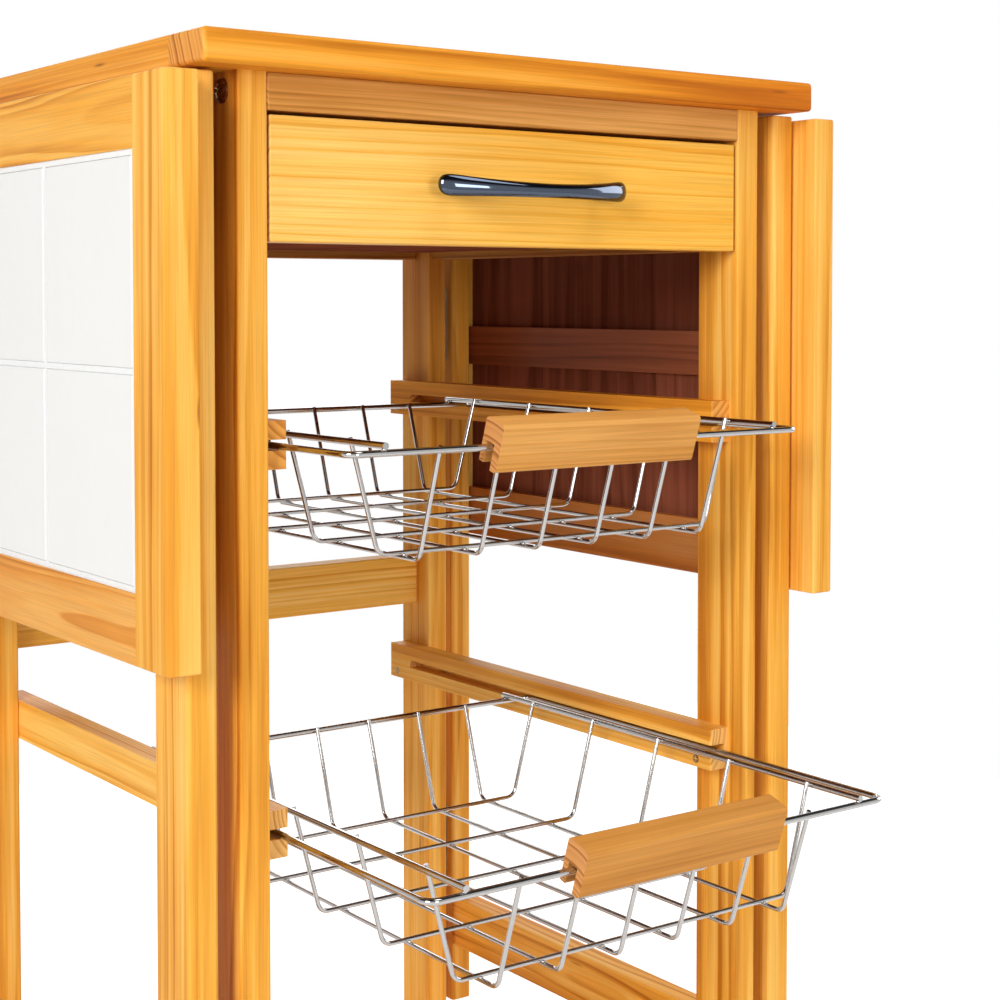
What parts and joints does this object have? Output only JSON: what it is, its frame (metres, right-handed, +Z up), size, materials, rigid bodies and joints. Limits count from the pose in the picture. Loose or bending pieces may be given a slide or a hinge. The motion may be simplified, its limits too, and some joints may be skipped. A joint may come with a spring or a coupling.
{
  "type": "kitchen storage cart",
  "caption": "Pine kitchen cart on casters with a tiled top, tiled drop leaves, a drawer and sliding chrome wire baskets with wooden grips.",
  "frame": {"origin": "on the floor under the middle of the top", "axes": "+Z up, -Y the drawer front, +X to the right seen from the front"},
  "size_m": [0.4066, 0.4784, 0.75],
  "materials": {
    "pine": "honey lacquer, satin gloss",
    "board": "stained thin board",
    "tile": "glossy white glaze",
    "grout": "matte white grout",
    "chrome_wire": "polished chrome",
    "hinge_steel": "zinc plate",
    "screw_steel": "zinc plate",
    "bolt_bronze": "dark bronze",
    "caster_frame": "black nylon",
    "caster_wheel": "black nylon"
  },
  "bodies": {
    "frame": {"drawer_runners": "pine", "frame_bolts": "bolt_bronze", "front_legs": "pine", "front_top_rail": "pine", "gate_hinges": "hinge_steel", "gate_left_posts": "pine", "gate_left_rails": "pine", "gate_right_posts": "pine", "gate_right_rails": "pine", "leaf_hinge_fixed_plates": "hinge_steel", "lower_basket_runners": "pine", "lower_end_rails": "pine", "lower_side_rails": "pine", "rear_apron": "pine", "rear_cross_rail": "pine", "rear_legs": "pine", "shelf_slats": "pine", "side_aprons": "pine", "top_backing_board": "board", "top_battens": "pine", "top_grout": "grout", "top_side_rails": "pine", "top_tiles": "tile", "upper_basket_runners": "pine"},
    "drawer": {"drawer_back": "pine", "drawer_bottom": "board", "drawer_front": "pine", "drawer_handle": "chrome_wire", "drawer_sides": "pine", "handle_screws": "screw_steel"},
    "upper_basket": {"upper_basket_grip": "pine", "upper_basket_rim": "chrome_wire", "upper_basket_side_bars": "chrome_wire", "upper_basket_wires": "chrome_wire"},
    "lower_basket": {"lower_basket_grip": "pine", "lower_basket_rim": "chrome_wire", "lower_basket_side_bars": "chrome_wire", "lower_basket_wires": "chrome_wire"},
    "leaf_left": {"leaf_left_back_rail": "pine", "leaf_left_backing_board": "board", "leaf_left_grout": "grout", "leaf_left_hinge_plates": "hinge_steel", "leaf_left_rails": "pine", "leaf_left_stiles": "tile", "leaf_left_tiles": "tile"},
    "leaf_right": {"leaf_right_back_rail": "pine", "leaf_right_backing_board": "board", "leaf_right_grout": "grout", "leaf_right_hinge_plates": "hinge_steel", "leaf_right_rails": "pine", "leaf_right_stiles": "tile", "leaf_right_tiles": "tile"},
    "caster_front_left": {"caster_fork_front_left": "caster_frame"},
    "wheels_front_left": {"caster_wheels_front_left": "caster_wheel"},
    "caster_front_right": {"caster_fork_front_right": "caster_frame"},
    "wheels_front_right": {"caster_wheels_front_right": "caster_wheel"},
    "caster_rear_left": {"caster_fork_rear_left": "caster_frame"},
    "wheels_rear_left": {"caster_wheels_rear_left": "caster_wheel"},
    "caster_rear_right": {"caster_fork_rear_right": "caster_frame"},
    "wheels_rear_right": {"caster_wheels_rear_right": "caster_wheel"}
  },
  "joints": [
    {"name": "drawer_slide", "type": "slide", "parent": "frame", "child": "drawer", "axis": [0, -1, 0], "range_m": [0, 0.22]},
    {"name": "upper_basket_slide", "type": "slide", "parent": "frame", "child": "upper_basket", "axis": [0, -1, 0], "range_m": [-0.0645, 0.1065]},
    {"name": "lower_basket_slide", "type": "slide", "parent": "frame", "child": "lower_basket", "axis": [0, -1, 0], "range_m": [-0.1255, 0.0455]},
    {"name": "leaf_left_hinge", "type": "hinge", "parent": "frame", "child": "leaf_left", "pos_m": [-0.18515, 0, 0.73185], "axis": [0, 1, 0], "range_deg": [0, 90]},
    {"name": "leaf_right_hinge", "type": "hinge", "parent": "frame", "child": "leaf_right", "pos_m": [0.18515, 0, 0.73185], "axis": [0, -1, 0], "range_deg": [0, 90]},
    {"name": "swivel_front_left", "type": "hinge", "parent": "frame", "child": "caster_front_left", "pos_m": [-0.15225, -0.15075, 0.052], "axis": [0, 0, 1], "continuous": true},
    {"name": "roll_front_left", "type": "hinge", "parent": "caster_front_left", "child": "wheels_front_left", "pos_m": [-0.15225, -0.13775, 0.019], "axis": [1, 0, 0], "continuous": true},
    {"name": "swivel_front_right", "type": "hinge", "parent": "frame", "child": "caster_front_right", "pos_m": [0.15225, -0.15075, 0.052], "axis": [0, 0, 1], "continuous": true},
    {"name": "roll_front_right", "type": "hinge", "parent": "caster_front_right", "child": "wheels_front_right", "pos_m": [0.15225, -0.13775, 0.019], "axis": [1, 0, 0], "continuous": true},
    {"name": "swivel_rear_left", "type": "hinge", "parent": "frame", "child": "caster_rear_left", "pos_m": [-0.15225, 0.15075, 0.052], "axis": [0, 0, 1], "continuous": true},
    {"name": "roll_rear_left", "type": "hinge", "parent": "caster_rear_left", "child": "wheels_rear_left", "pos_m": [-0.15225, 0.16375, 0.019], "axis": [1, 0, 0], "continuous": true},
    {"name": "swivel_rear_right", "type": "hinge", "parent": "frame", "child": "caster_rear_right", "pos_m": [0.15225, 0.15075, 0.052], "axis": [0, 0, 1], "continuous": true},
    {"name": "roll_rear_right", "type": "hinge", "parent": "caster_rear_right", "child": "wheels_rear_right", "pos_m": [0.15225, 0.16375, 0.019], "axis": [1, 0, 0], "continuous": true}
  ]
}
